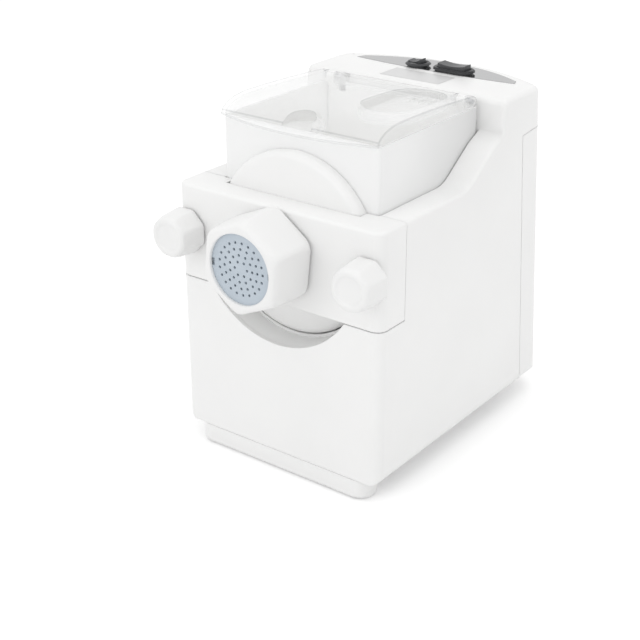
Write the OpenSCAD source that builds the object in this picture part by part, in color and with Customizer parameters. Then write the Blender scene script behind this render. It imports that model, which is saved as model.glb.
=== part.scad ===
// Electric pasta maker: mixing chamber with lid, extruder front, gear drive and motor.
// Millimetres, +Z up, front towards -Y. The origin is below the middle of the overall box.

/* [Body] */
// Width of the housing across its two flat sides
body_w = 200; // [190:1:206]
// Depth from the front plate's face to the middle of the rear wall, at the bottom
rear_y = 286.5; // [280:0.5:296]
// Height of the housing's lower edge above the table
body_bottom = 17.5; // [14:0.5:20]
// Height of the deck around the mixing chamber
deck_z = 232.6; // [228:0.2:236]
// Height of the rear block that carries the switches
block_top = 293; // [288:0.5:298]
// Distance from the front plate's face to the front of the rear block
block_y = 171.4; // [170:0.2:173]
// Plan radius of the two front corners
front_corner_r = 9.2; // [7:0.2:12]
// Plan radius of the two rear corners
rear_corner_r = 14; // [10:0.5:18]
// Radius of the two long lower edges
bottom_corner_r = 10; // [8:0.5:12]
// Plan radius of the bowed rear wall
rear_bow_r = 180; // [160:1:240]
// Forward lean of the rear wall, in degrees
rear_lean = 5.7; // [4:0.1:7]
// Wall thickness of the housing shells
wall = 3; // [2.4:0.2:3.4]

/* [Mixing chamber and lid] */
// Height of the drive axis above the table
axis_z = 194.5; // [193:0.5:196]
// Outer radius of the chamber's round trough, and half its width
chamber_r = 75.2; // [74:0.1:75.3]
// Height of the chamber's top edge
chamber_top = 285; // [283:0.5:285]
// Wall thickness of the chamber
chamber_wall = 2.5; // [2:0.1:3]
// Height of the lid's front ledge
lid_ledge_z = 287; // [286.8:0.1:288]
// Height of the lid's crown
lid_crown_z = 298.5; // [296:0.5:300]

/* [Extruder] */
// Radius of the round front disc
disc_r = 75; // [74:0.2:75.2]
// Height of the front plate's lower edge
seam_z = 152.8; // [150:0.2:156]
// Depth of the front plate, from its face to the ends of its flanges
plate_depth = 32; // [30:0.5:32.3]
// Length that the nut stands in front of the plate
nut_reach = 43.5; // [42:0.5:46]
// Distance from the nut's axis to its flats, at the front
nut_front_apothem = 33.5; // [33:0.5:35]
// Distance from the nut's axis to its flats, at the rear
nut_rear_apothem = 38; // [36:0.5:39]
// Bore radius of the extrusion tube
tube_bore_r = 25; // [24.8:0.1:25.2]
// Distance of each fixing knob from the middle
knob_x = 88.8; // [88:0.2:89.5]
// Length that a fixing knob stands in front of the plate
knob_reach = 26; // [24:0.5:28]
// Turning clearance of the nut on its tube
nut_clearance = 0.1; // [0.02:0.01:0.1]

/* [Switches] */
// Position of the small switch, across
small_switch_x = -17.6; // [-19:0.2:-16.5]
// Position of the large switch, across
large_switch_x = 18.8; // [18:0.2:21]
// Position of both switches, from the front plate's face
switch_y = 224; // [223:0.5:226]
// Tilt of the small switch as it lies when off, in degrees
small_switch_tilt = 9; // [6:1:9]

/* [Drive] */
// Height of the motor's axis
motor_z = 72; // [70:0.5:73]
// Module of the first gear pair
module_1 = 1; // [1:1:1]
// Module of the second gear pair
module_2 = 1.25; // [1.25:1:1.25]
// Module of the third gear pair
module_3 = 1.5; // [1.5:1:1.5]
// Sideways offset of the second gear shaft
second_gear_x = 20; // [18:0.5:22]
// Radial clearance of a turning shaft in its bore
shaft_clearance = 0.05; // [0.02:0.01:0.08]

/* [Hidden] */
$fn = 72;

// Colours
WHITE = "#f2f2f2";
CLEAR = "#e8eef088";
STEEL = "#b9bcc0";
BRASS = "#c9a552";
RUBBER = "#3a3a3c";
CHARCOAL = "#3c3e42";
SILVER = "#bdbdbd";
NYLON = "#e9e6da";
GREEN = "#2f6b4a";
COPPER = "#b8703a";
SEAL_GREY = "#d9dcdf";
DIE_GREY = "#b9c1c8";

// Frame: the pieces are drawn from the front plate's face, and row() moves that face to its place
depth_mid = (rear_y - nut_reach) / 2;
far = 500;
gap = 0.3;
fit_gap = 0.02;
eps = 0.01;

// Housing profile
knee_y = 118.5;
slope_angle = 34.5;
slope_turn_y = 155;
upper_slope_angle = 25;
knee_r = 30;
block_edge_r = 6;
half_w = body_w / 2;
well_r = 75.8;
well_wall = 2.2;
recess_r = 78.3;
recess_depth = 24;
bay_y = plate_depth + gap;
shelf_z = seam_z - 0.4;
cover_depth = 59.5;
cover_top = 246;
cover_gap = 0.15;

// Front group
disc_face_y = 21;
disc_back_y = 31;
chamber_front_y = 31.2;
chamber_back_y = 168;
opening_r = 70;
tube_flange_y = 17;
tube_front_y = -34.5;
tube_thread_r = 30.05;
tube_core_r = 28.9;
die_r = 29.9;
die_y = -40.5;
nut_bore_r = tube_thread_r + nut_clearance;
nut_mouth_r = 28.5;
nut_back_y = -1.6;
stud_r = 3;
insert_y0 = bay_y + 0.2;
insert_y1 = insert_y0 + 12;
knob_z = axis_z - 0.2;
knob_back_y = -1.2;

// Lid
lid_front_y = 15;
brow_y = 29;
brow_depth = 33;
lid_fall = 3.8;
lid_bow_r = 222;
lid_wall = 2.2;
lid_bottom = chamber_top + 0.2;
hinge_y = 163;
hinge_z = 290;
hinge_r = 4.3;
pin_r = 2;
lug_x = 65;
lug_w = 8;
inlet_x = 41;
inlet_r = 23.5;
inlet_y0 = 95.5;
inlet_y1 = 132.5;
inlet_floor_z = 290;
inlet_slots = 3;
inlet_slot_w = 5;
inlet_slot_l = 14;
inlet_slot_pitch = 9;
inlet_slot_y = 138;
plunger_x = -56.5;
plunger_w = 5.2;
plunger_z0 = 278.2;
plunger_z1 = 290.4;

// Gear train: teeth, places and tooth widths along Y
pressure_angle = 20;
teeth_pinion = 15;
teeth_first = 60;
teeth_first_small = 16;
teeth_second = 56;
teeth_second_small = 16;
teeth_output = 52;
backlash = 0.12;
mesh_1 = module_1 * (teeth_pinion + teeth_first) / 2;
mesh_2 = module_2 * (teeth_first_small + teeth_second) / 2;
mesh_3 = module_3 * (teeth_second_small + teeth_output) / 2;
motor_at = [0, motor_z];
output_at = [0, axis_z];
second_at = [second_gear_x, axis_z - sqrt(mesh_3 * mesh_3 - second_gear_x * second_gear_x)];
motor_to_second = norm(second_at - motor_at);
along_line = (mesh_1 * mesh_1 - mesh_2 * mesh_2 + motor_to_second * motor_to_second)
    / (2 * motor_to_second);
off_line = sqrt(mesh_1 * mesh_1 - along_line * along_line);
line_dir = (second_at - motor_at) / motor_to_second;
first_at = motor_at + along_line * line_dir + off_line * [-line_dir[1], line_dir[0]];
plane_1 = [182, 190];
plane_2 = [192, 202];
plane_3 = [204, 216];
case_y0 = 176;
case_y1 = 222;
case_wall = 3;
case_x0 = -48;
case_x1 = 62;
case_z0 = 50;
case_z1 = 241;
axle_1_r = 3;
axle_2_r = 4;
shaft_r = 7;
shaft_back_r = 6;
hex_r = 8;

// Motor
motor_r = 36;
motor_y0 = 92;
motor_y1 = 175.8;
rotor_r = 24;
rotor_shaft_r = 4;

// Panel
panel_half = 82;
panel_y = 215.2;
panel_peak = 250;
panel_arc_r = 145;
panel_bow_r = 640;
panel_shoulder_x = 76;
panel_shoulder_y = 229.4;
panel_thick = 1.2;
panel_proud = 0.2;
large_half = 19.3;
large_end_r = 9.8;
small_r = 11.3;
bezel_lift = 1.55;
bezel_h = 3.45;

function arc(c, r, a0, a1, n) =
    [for (i = [0 : n]) c + r * [cos(a0 + (a1 - a0) * i / n), sin(a0 + (a1 - a0) * i / n)]];
function polar(r, a) = r * [cos(a), sin(a)];
function heading(a, b) = atan2(b[1] - a[1], b[0] - a[0]);

// Placing helpers: children drawn in (x, z) or (y, z) become prisms along Y or X
module row() translate([0, -depth_mid, 0]) children();
module on_axis() translate([0, 0, axis_z]) children();
module y_prism(y0, y1) translate([0, y1, 0]) rotate([90, 0, 0]) linear_extrude(y1 - y0) children();
module x_prism(x0, x1) translate([x0, 0, 0]) rotate([90, 0, 90]) linear_extrude(x1 - x0) children();
module z_prism(z0, z1) translate([0, 0, z0]) linear_extrude(z1 - z0) children();
module y_rod(r, y0, y1) y_prism(y0, y1) circle(r);
module y_ring(ro, ri, y0, y1) y_prism(y0, y1) difference() {
    circle(ro);
    circle(ri);
}
module y_cone(r0, r1, y0, y1) translate([0, y1, 0]) rotate([90, 0, 0])
    cylinder(r1 = r1, r2 = r0, h = y1 - y0);
module y_lathe(pts) rotate([-90, 0, 0]) rotate_extrude() polygon(pts);
module slab(x0, x1, y0, y1, z0, z1) translate([x0, y0, z0]) cube([x1 - x0, y1 - y0, z1 - z0]);
module both_sides() for (side = [0, 1]) mirror([side, 0, 0]) children();
module stadium(half, r) {
    square([2 * (half - r), 2 * r], center = true);
    for (s = [-1, 1]) translate([s * (half - r), 0]) circle(r);
}

// The rear wall's own frame: y = 0 on its outer face at the middle, z along the leaning wall
module rear_frame() translate([0, rear_y, body_bottom]) rotate([rear_lean, 0, 0]) children();

// ---- Housing ----
module front_plan(t) {
    inner_half = half_w - front_corner_r;
    translate([-half_w + t, front_corner_r]) square([body_w - 2 * t, far]);
    translate([-inner_half, t]) square([2 * inner_half, far]);
    for (s = [-1, 1]) translate([s * inner_half, front_corner_r]) circle(front_corner_r - t);
}
module rear_plan(t) {
    cx = half_w - rear_corner_r;
    reach = rear_bow_r - rear_corner_r;
    spread = asin(cx / reach);
    cy = -rear_bow_r + reach * cos(spread);
    polygon(concat(
        [[half_w - t, -far]],
        arc([cx, cy], rear_corner_r - t, 0, 90 - spread - 0.5, 8),
        arc([0, -rear_bow_r], rear_bow_r - t, 90 - spread, 90 + spread, 24),
        arc([-cx, cy], rear_corner_r - t, 90 + spread + 0.5, 180, 8),
        [[-half_w + t, -far]]));
}
module side_profile(t, floor_z) {
    arc_c = [knee_y - knee_r * tan(slope_angle / 2), deck_z + knee_r];
    turn_z = deck_z + (slope_turn_y - knee_y) * tan(slope_angle);
    end_z = turn_z + (block_y - slope_turn_y) * tan(upper_slope_angle);
    polygon(concat(
        [[-far, floor_z], [-far, deck_z - t]],
        arc(arc_c, knee_r + t, -90, -90 + slope_angle, 6),
        [[slope_turn_y, turn_z - t / cos(slope_angle)],
         [block_y + t, end_z + t * tan(upper_slope_angle) - t / cos(upper_slope_angle)]],
        arc([block_y + block_edge_r, block_top - block_edge_r], block_edge_r - t, 180, 90, 4),
        [[far, block_top - t], [far, floor_z]]));
}
module front_outline(t, floor_z) {
    edge_x = half_w - bottom_corner_r;
    translate([-half_w + t, body_bottom + bottom_corner_r]) square([body_w - 2 * t, far]);
    translate([-edge_x, t > 0 ? floor_z : body_bottom]) square([2 * edge_x, far]);
    for (s = [-1, 1]) translate([s * edge_x, body_bottom + bottom_corner_r]) circle(bottom_corner_r - t);
}
module outer_solid(t, floor_z) intersection() {
    z_prism(0, block_top + 1) front_plan(t);
    rear_frame() z_prism(-60, 360) rear_plan(t);
    x_prism(-half_w - 1, half_w + 1) side_profile(t, floor_z);
    y_prism(-1, far) front_outline(t, floor_z);
}
module cover_region(g) rear_frame() slab(-half_w - 2, half_w + 2, -cover_depth - g, 60, -60, cover_top + g);
module well_cut() {
    on_axis() y_rod(well_r, -1, block_y);
    slab(-well_r, well_r, -1, block_y, axis_z, block_top + 10);
    on_axis() y_rod(recess_r, -1, recess_depth);
}
module well_walls() {
    on_axis() y_rod(well_r + well_wall, wall, block_y + wall);
    slab(-well_r - well_wall, well_r + well_wall, wall, block_y + wall, axis_z, block_top - 1);
    on_axis() y_rod(recess_r + well_wall, 0, recess_depth + well_wall);
}
module panel_outline(g) intersection() {
    translate([0, panel_peak - panel_arc_r]) circle(panel_arc_r + g, $fn = 180);
    translate([0, panel_y + panel_bow_r]) circle(panel_bow_r + g, $fn = 360);
    polygon([[-panel_half - g, panel_y - g], [panel_half + g, panel_y - g],
        [panel_shoulder_x + g, panel_shoulder_y + g], [panel_shoulder_x - 20, panel_peak + 20],
        [20 - panel_shoulder_x, panel_peak + 20], [-panel_shoulder_x - g, panel_shoulder_y + g]]);
}
module switch_holes(g) {
    translate([small_switch_x, switch_y]) circle(8 + g);
    translate([large_switch_x, switch_y]) stadium(17 + g, 7.4 + g);
}
boss_x = 83;
boss_rows = [34, 120, 205];
cover_screw_x = 91;
cover_screw_rows = [30, 215];
board_z = 254;
board_corners = [[-45, 189], [57, 189], [-57, 231], [57, 231]];
module base_screw_places() both_sides() for (y = boss_rows) translate([boss_x, y, body_bottom]) children();
module cover_screw_places() rear_frame() both_sides() for (z = cover_screw_rows)
    translate([cover_screw_x, 0, z]) rotate([90, 0, 0]) children();
module housing() row() color(WHITE) difference() {
    union() {
        difference() {
            outer_solid(0, body_bottom);
            difference() {
                outer_solid(wall, body_bottom - 1);
                slab(-far, far, -far, bay_y + wall, shelf_z - wall, far);
            }
        }
        // Bosses that hold the knobs' inserts
        both_sides() translate([knob_x, 0, knob_z]) y_rod(8, bay_y + wall - 1, insert_y1 + 1.5);
        // Bosses for the base screws, each with a web to the side wall
        base_screw_places() {
            translate([0, 0, 4]) cylinder(r = 5, h = 22);
            translate([0, -2, 12]) cube([half_w - wall - boss_x + 0.5, 4, 14]);
        }
        // Posts for the rear cover's screws
        intersection() {
            cover_screw_places() translate([0, 0, cover_depth + cover_gap]) cylinder(r = 6.5, h = 16);
            outer_solid(0, body_bottom);
        }
        // Posts that the control board hangs from
        for (p = board_corners)
            translate([p[0], p[1], board_z + 1.65]) cylinder(r = 3.2, h = block_top - board_z - 3);
        // Shelf under the interlock switch
        slab(plunger_x - 5, plunger_x + 5, block_y + wall - 1, 206, plunger_z0 - 3.5, plunger_z0 - 1.05);
    }
    well_cut();
    slab(-far, far, -far, bay_y, shelf_z, deck_z + 20);
    cover_region(cover_gap);
    slab(plunger_x - plunger_w / 2 - gap, plunger_x + plunger_w / 2 + gap, block_y - 1, 184.4,
        plunger_z0 - gap, plunger_z1 + gap);
    both_sides() translate([knob_x, 0, knob_z]) y_rod(5.5 + fit_gap, bay_y - 1, insert_y1 + 0.1);
    base_screw_places() cylinder(r = 1.6, h = 20);
    cover_screw_places() translate([0, 0, cover_depth - 1]) cylinder(r = 1.6, h = 15);
    for (p = board_corners) translate([p[0], p[1], board_z]) cylinder(r = 1.2, h = 12);
    z_prism(block_top - panel_thick + panel_proud, block_top + 1) panel_outline(0.15);
    z_prism(block_top - 10, block_top + 1) switch_holes(0.3);
    slab(-29.7, 29.7, 181.9, 208.7, block_top - 0.6, block_top + 1);
}
// Trough that the mixing chamber lies in, fixed under the housing's deck and behind its front
module chamber_bed() row() color(WHITE) difference() {
    union() {
        intersection() {
            outer_solid(wall + 0.05, body_bottom);
            well_walls();
        }
        // Posts that the gearbox is bolted against
        for (x = [-44, 58], z = [150, 232]) translate([x, 0, z]) y_rod(4, block_y + wall - 1, case_y0 - 0.05);
    }
    well_cut();
    slab(-far, far, -far, bay_y + wall + 0.05, shelf_z - wall - 0.05, far);
    on_axis() y_rod(10.5, block_y - 1, block_y + wall + 1);
}
module rear_cover() row() color(WHITE) difference() {
    union() {
        intersection() {
            difference() {
                outer_solid(0, body_bottom);
                outer_solid(wall, body_bottom - 1);
            }
            cover_region(-cover_gap);
        }
        // Flat pad around the mains inlet
        rear_frame() slab(-19, 19, -6, -0.1, 15, 43);
        // Bosses for the cover's own screws
        intersection() {
            cover_screw_places() translate([0, 0, 28]) cylinder(r = 6.5, h = cover_depth - 28);
            outer_solid(0, body_bottom);
        }
    }
    // Cooling slots
    rear_frame() for (i = [-7 : 7]) slab(i * 8 - 1.25, i * 8 + 1.25, -30, 5, 120, 168);
    rear_frame() slab(-15, 15, -20, 5, 19, 39);
    // Screw holes, counterbored from behind
    cover_screw_places() {
        translate([0, 0, 20]) cylinder(r = 1.9, h = cover_depth);
        translate([0, 0, 10]) cylinder(r = 3.8, h = 22);
    }
}
module base_plate() row() color(WHITE) difference() {
    intersection() {
        z_prism(body_bottom, body_bottom + 3) front_plan(wall + gap);
        rear_frame() z_prism(-30, 60) rear_plan(wall + gap);
        slab(-half_w + bottom_corner_r + gap, half_w - bottom_corner_r - gap, 0, far, 0, far);
    }
    base_screw_places() translate([0, 0, -1]) cylinder(r = 1.9, h = 6);
    // Air slots under the motor's fan
    for (i = [-4 : 4]) slab(i * 7 - 1.25, i * 7 + 1.25, 60, 96, body_bottom - 1, body_bottom + 5);
}
module rounded_block(x0, x1, y0, y1, z0, z1, r) z_prism(z0, z1) {
    translate([x0 + r, y0]) square([x1 - x0 - 2 * r, y1 - y0]);
    translate([x0, y0 + r]) square([x1 - x0, y1 - y0 - 2 * r]);
    for (x = [x0 + r, x1 - r], y = [y0 + r, y1 - r]) translate([x, y]) circle(r);
}
module front_foot() row() color(WHITE) rounded_block(-87, 87, 0.3, 26.3, 1.5, body_bottom - 0.05, 12);
module rear_feet() row() color(WHITE) both_sides()
    rounded_block(42, 66, 222, 244, 1.5, body_bottom - 0.05, 6);
module foot_pads() row() color(RUBBER) both_sides() {
    translate([74, 11, 0]) cylinder(r = 8, h = 1.5);
    translate([54, 233, 0]) cylinder(r = 8, h = 1.5);
}

// ---- Front plate and extruder ----
module plate_profile(t, depth) z_prism(seam_z + t, deck_z - t) intersection() {
    front_plan(t);
    translate([-half_w, -1]) square([body_w, depth + 1]);
}
module front_plate() row() color(WHITE) difference() {
    union() {
        difference() {
            plate_profile(0, plate_depth);
            plate_profile(wall, plate_depth + 5);
        }
        // Bosses that meet the disc, and sleeves round the studs
        for (x = [-52, 52], z = [-22, 22]) translate([x, 0, axis_z + z]) y_rod(4, 1, disc_face_y - 0.05);
        both_sides() translate([knob_x, 0, knob_z]) y_rod(6.5, 1, plate_depth);
    }
    on_axis() y_rod(disc_r + 0.5, disc_face_y - 0.05, plate_depth + 1);
    slab(-well_r, well_r, disc_back_y - 0.4, plate_depth + 1, axis_z, deck_z + 1);
    on_axis() y_rod(tube_thread_r + 0.6, -1, 20);
    both_sides() translate([knob_x, 0, knob_z]) y_rod(stud_r + shaft_clearance, -1, plate_depth + 1);
}
module front_disc() row() on_axis() color(WHITE) y_lathe([
    [tube_bore_r + 0.2, disc_face_y], [disc_r - 4, disc_face_y], [disc_r - 1.2, disc_face_y + 1.2],
    [disc_r, disc_face_y + 4], [disc_r, disc_back_y], [disc_r - 1.5, disc_back_y],
    [disc_r - 3.5, disc_back_y], [disc_r - 3.5, disc_face_y + 3.5], [opening_r - 0.6, disc_face_y + 3.5],
    [opening_r - 0.6, 33.2], [opening_r - 2, 33.2], [opening_r - 2, 36.2], [opening_r - 0.6, 36.2],
    [opening_r - 0.6, 38], [tube_bore_r + 3.2, 38], [tube_bore_r + 3.2, 34.5], [opening_r - 4, 34.5],
    [opening_r - 4, disc_face_y + 3.5], [tube_bore_r + 3.2, disc_face_y + 3.5],
    [tube_bore_r + 3.2, 30], [tube_bore_r + 0.2, 30]]);
module disc_seal() row() on_axis() color(SEAL_GREY)
    y_ring(opening_r - 0.1, opening_r - 2 + fit_gap, 33.25, 36.15);
module extrusion_tube() row() on_axis() color(WHITE) difference() {
    union() {
        y_rod(tube_core_r, tube_front_y, disc_face_y - 0.05);
        y_rod(34.6, tube_flange_y, disc_face_y - 0.05);
        // Thread ridges
        for (i = [0 : 4]) y_rod(tube_thread_r, tube_front_y + 3 + i * 6, tube_front_y + 6 + i * 6);
    }
    y_rod(tube_bore_r, tube_front_y - 1, disc_face_y + 1);
}
die_rings = [[6, 6], [11, 11], [16, 16], [21, 21]];
module die_disc() row() on_axis() color(DIE_GREY) difference() {
    y_rod(die_r, die_y, tube_front_y - 0.05);
    // Spaghetti holes in rings
    for (ring = die_rings, i = [0 : ring[1] - 1]) rotate([0, 360 * i / ring[1], 0])
        translate([ring[0], 0, 0]) y_rod(1.1, die_y - 1, tube_front_y + 1);
    // Two notches for the cleaning tool
    for (a = [0, 180]) rotate([0, a, 0]) slab(26, 31, die_y - 1, die_y + 2, -3, 3);
}
module flat_sides(count, front_a, back_a, y0, y1) {
    draft = atan((back_a - front_a) / (y1 - y0));
    intersection_for (i = [0 : count - 1]) rotate([0, i * 360 / count, 0])
        translate([front_a, y0, 0]) rotate([0, 0, -draft]) slab(-far, 0, -30, 100, -far, far);
}
module extruder_nut() row() on_axis() color(WHITE) difference() {
    intersection() {
        flat_sides(6, nut_front_apothem, nut_rear_apothem, -nut_reach, nut_back_y);
        y_cone(nut_front_apothem + 3.9, nut_rear_apothem + 4.1, -nut_reach, nut_back_y);
    }
    y_rod(nut_bore_r, die_y - 0.1, nut_back_y + 1);
    y_rod(nut_mouth_r, -nut_reach - 1, die_y);
}
module knob(side) row() color(WHITE) translate([side * knob_x, 0, knob_z]) difference() {
    intersection() {
        rotate([0, 22.5, 0]) flat_sides(8, 16.9, 18.3, -knob_reach, knob_back_y);
        y_cone(17.6, 19, -knob_reach, knob_back_y);
    }
    y_rod(11.5, -knob_reach - 1, -knob_reach + 1.4);
    y_rod(stud_r + fit_gap, -18.02, 1);
}
module knob_left() knob(-1);
module knob_right() knob(1);
module knob_stud(side) row() color(STEEL)
    translate([side * knob_x, 0, knob_z]) y_rod(stud_r, -18, insert_y1 - 1);
module knob_stud_left() knob_stud(-1);
module knob_stud_right() knob_stud(1);
module stud_inserts() row() color(BRASS) both_sides() translate([knob_x, 0, knob_z])
    y_ring(5.5, stud_r + shaft_clearance, insert_y0, insert_y1);

// ---- Mixing chamber and lid ----
module chamber_plan(t) {
    corner = 3.5;
    translate([-chamber_r + t, chamber_front_y + corner]) square([2 * (chamber_r - t), far]);
    translate([-chamber_r + corner, chamber_front_y + t]) square([2 * (chamber_r - corner), far]);
    for (s = [-1, 1]) translate([s * (chamber_r - corner), chamber_front_y + corner]) circle(corner - t);
}
module chamber_form(t, top) intersection() {
    y_prism(chamber_front_y + t, chamber_back_y - t) {
        translate([0, axis_z]) circle(chamber_r - t);
        translate([-chamber_r + t, axis_z]) square([2 * (chamber_r - t), top - axis_z]);
    }
    z_prism(0, far) chamber_plan(t);
}
module hinge_lug() difference() {
    x_prism(lug_x - lug_w / 2, lug_x + lug_w / 2) {
        translate([hinge_y, hinge_z]) circle(4);
        polygon([[hinge_y - 4, hinge_z], [hinge_y - 4, 286], [chamber_back_y - 1, 276],
            [chamber_back_y - 1, 285], [hinge_y + 4, hinge_z]]);
    }
    x_rod(pin_r + shaft_clearance, 0, 100);
}
module mixing_chamber() row() color(WHITE) {
    difference() {
        chamber_form(0, chamber_top);
        chamber_form(chamber_wall, chamber_top + 1);
        on_axis() y_rod(opening_r, chamber_front_y - 1, chamber_front_y + 6);
        on_axis() y_rod(15 + fit_gap, chamber_back_y - chamber_wall - 1, chamber_back_y + 1);
        slab(plunger_x - 3.4, plunger_x + 3.4, chamber_back_y - chamber_wall - 1, chamber_back_y + 1,
            277, far);
    }
    both_sides() hinge_lug();
}
// Side profile of the lid: a flat ledge, a brow that turns back like a quarter of an ellipse, a long crown
module lid_section(t, bottom) {
    rise = lid_crown_z - lid_ledge_z;
    polygon(concat(
        [[lid_front_y - 1, bottom], [lid_front_y - 1, lid_ledge_z - t], [brow_y + t, lid_ledge_z - t]],
        [for (a = [10 : 10 : 80]) [brow_y + t + (brow_depth - t) * (1 - cos(a)),
            lid_ledge_z - t + rise * sin(a)]],
        [for (i = [0 : 8]) [brow_y + brow_depth + i * (hinge_y - brow_y - brow_depth) / 8,
            lid_crown_z - t - lid_fall * pow(i / 8, 2)]],
        [[hinge_y, bottom]]));
}
lid_half = chamber_r + 0.4;
module x_rod(r, x0, x1) translate([x0, hinge_y, hinge_z]) rotate([0, 90, 0]) cylinder(r = r, h = x1 - x0);
module lid_plan(t) intersection() {
    translate([0, lid_front_y + lid_bow_r]) circle(lid_bow_r - t, $fn = 180);
    translate([-lid_half + t, 0]) square([2 * (lid_half - t), hinge_y + 20]);
}
module inlet_shape(r) {
    translate([inlet_x - r, inlet_y0]) square([2 * r, inlet_y1 - inlet_y0]);
    for (y = [inlet_y0, inlet_y1]) translate([inlet_x, y]) circle(r);
}
// Interlock finger that presses the plunger while the lid is shut
module finger(extra) slab(plunger_x - 1.5, plunger_x + 1.5, hinge_y - 4, chamber_back_y + 0.2 + extra,
    lid_bottom, hinge_z - pin_r - 0.3);
module lid_skin() {
    intersection() {
        x_prism(-far, far) lid_section(0, lid_bottom);
        z_prism(0, far) lid_plan(0);
    }
    x_rod(hinge_r, -lid_half, lid_half);
    finger(0);
}
module lid() row() color(CLEAR) difference() {
    union() {
        difference() {
            lid_skin();
            intersection() {
                x_prism(-far, far) lid_section(lid_wall, 0);
                z_prism(0, far) intersection() {
                    lid_plan(lid_wall);
                    translate([-far, 0]) square([2 * far, hinge_y - hinge_r - 1]);
                }
            }
        }
        // Tray of the water inlet, thumb scoop and interlock finger
        intersection() {
            z_prism(inlet_floor_z - lid_wall, far) inlet_shape(inlet_r + lid_wall);
            lid_skin();
        }
        intersection() {
            translate([0, 36, lid_ledge_z - 2]) sphere(r = 17.5);
            slab(-20, 20, 16, 60, lid_ledge_z - lid_wall, far);
            lid_skin();
        }
    }
    z_prism(inlet_floor_z, far) inlet_shape(inlet_r);
    intersection() {
        translate([0, 36, lid_ledge_z - 2]) sphere(r = 15.3);
        slab(-20, 20, 16, 60, lid_ledge_z, far);
    }
    for (i = [0 : inlet_slots - 1])
        translate([inlet_x + (i - (inlet_slots - 1) / 2) * inlet_slot_pitch, inlet_slot_y, 0])
            slab(-inlet_slot_w / 2, inlet_slot_w / 2, 0, inlet_slot_l, 200, 300);
    // Notch that frees the interlock finger
    difference() {
        slab(-lug_x + lug_w / 2, plunger_x + 3.4, hinge_y - 3, hinge_y + 10, 200, 320);
        finger(1);
    }
    both_sides() {
        slab(lug_x - lug_w / 2 - 0.6, lug_x + lug_w / 2 + 0.6, hinge_y - 7, hinge_y + 10, 200, 320);
        x_rod(pin_r + fit_gap, 54, 74.6);
    }
}
module lid_hinge_pins() row() color(STEEL) both_sides() x_rod(pin_r, 54.2, 74.2);
module mixing_paddle() row() on_axis() color(NYLON) difference() {
    union() {
        y_rod(13, 62.05, 163.5);
        y_rod(11, 163, 169.5);
        for (i = [0 : 4]) translate([0, 74 + i * 19, 0]) rotate([0, i * 72 - 16, 0]) {
            slab(-6, 6, -4, 4, 0, 62);
            translate([0, 0, 61]) rotate([0, 90, 90]) translate([0, 0, -4]) cylinder(r = 6, h = 8);
        }
    }
    y_rod(hex_r + 0.2, 148, 170, $fn = 6);
}
module auger_screw() row() on_axis() color(NYLON) translate([0, 62, 0]) rotate([90, 0, 0])
    linear_extrude(height = 95, twist = 900, slices = 90, convexity = 8) union() {
        circle(9, $fn = 24);
        polygon(concat([[0, 0]], arc([0, 0], 24.4, -28, 28, 8)));
    }
module shaft_seal() row() on_axis() color(SEAL_GREY) y_ring(15, 11 + shaft_clearance, 164.2, 169.3);

// ---- Gear drive ----
function involute_angle(a) = tan(a) * 180 / PI - a;
function tooth_angle(r, base_r, pitch_half) =
    pitch_half + involute_angle(pressure_angle) - involute_angle(acos(min(1, base_r / r)));
module gear_2d(m, z, phase) {
    pitch_r = m * z / 2;
    base_r = pitch_r * cos(pressure_angle);
    tip_r = pitch_r + 0.95 * m;
    root_r = pitch_r - 1.2 * m;
    pitch_half = 90 / z - backlash / pitch_r * 180 / PI / 2;
    start_r = max(base_r, root_r);
    steps = 4;
    flank = [for (k = [0 : steps]) start_r + (tip_r - start_r) * k / steps];
    radii = concat(root_r < base_r ? [root_r] : [], flank);
    spread = [for (r = radii) tooth_angle(max(r, start_r), base_r, pitch_half)];
    last = len(radii) - 1;
    polygon([for (t = [0 : z - 1]) each concat(
        [for (k = [0 : last]) polar(radii[k], phase + t * 360 / z - spread[k])],
        [for (k = [last : -1 : 0]) polar(radii[k], phase + t * 360 / z + spread[k])])]);
}
module at_shaft(p) translate([p[0], 0, p[1]]) children();
// A tooth of the driver points along the line of centres, and a gap of the driven gear faces it
function gap_phase(z, direction) = direction + 180 / z;
module motor_pinion() row() color(STEEL) at_shaft(motor_at)
    y_prism(plane_1[0] - 1, plane_1[1] + 1) difference() {
    gear_2d(module_1, teeth_pinion, heading(motor_at, first_at));
    circle(rotor_shaft_r + fit_gap);
}
module first_gear() row() color(NYLON) at_shaft(first_at) difference() {
    union() {
        y_prism(plane_1[0], plane_1[1])
            gear_2d(module_1, teeth_first, gap_phase(teeth_first, heading(first_at, motor_at)));
        y_prism(plane_1[1] - 1, plane_2[1])
            gear_2d(module_2, teeth_first_small, heading(first_at, second_at));
        y_rod(6, plane_1[0] - 2.5, plane_1[0] + 1);
    }
    y_rod(axle_1_r + shaft_clearance, 170, 230);
}
module second_gear() row() color(NYLON) at_shaft(second_at) difference() {
    union() {
        y_prism(plane_2[0], plane_2[1])
            gear_2d(module_2, teeth_second, gap_phase(teeth_second, heading(second_at, first_at)));
        y_prism(plane_2[1] - 1, plane_3[1])
            gear_2d(module_3, teeth_second_small, heading(second_at, output_at));
        y_rod(7, plane_1[0], plane_2[0] + 1);
    }
    y_rod(axle_2_r + shaft_clearance, 170, 230);
}
module output_gear() row() color(STEEL) at_shaft(output_at) y_prism(plane_3[0], plane_3[1]) difference() {
    gear_2d(module_3, teeth_output, gap_phase(teeth_output, heading(output_at, second_at)));
    circle(shaft_r + fit_gap);
    for (a = [0 : 60 : 300]) translate(polar(24, a)) circle(7);
}
module drive_shaft() row() on_axis() color(STEEL) {
    y_rod(hex_r, 150, 173, $fn = 6);
    y_rod(shaft_r, 172, plane_3[1] + 1);
    y_rod(shaft_back_r, plane_3[1], case_y1 + 2);
}
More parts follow.
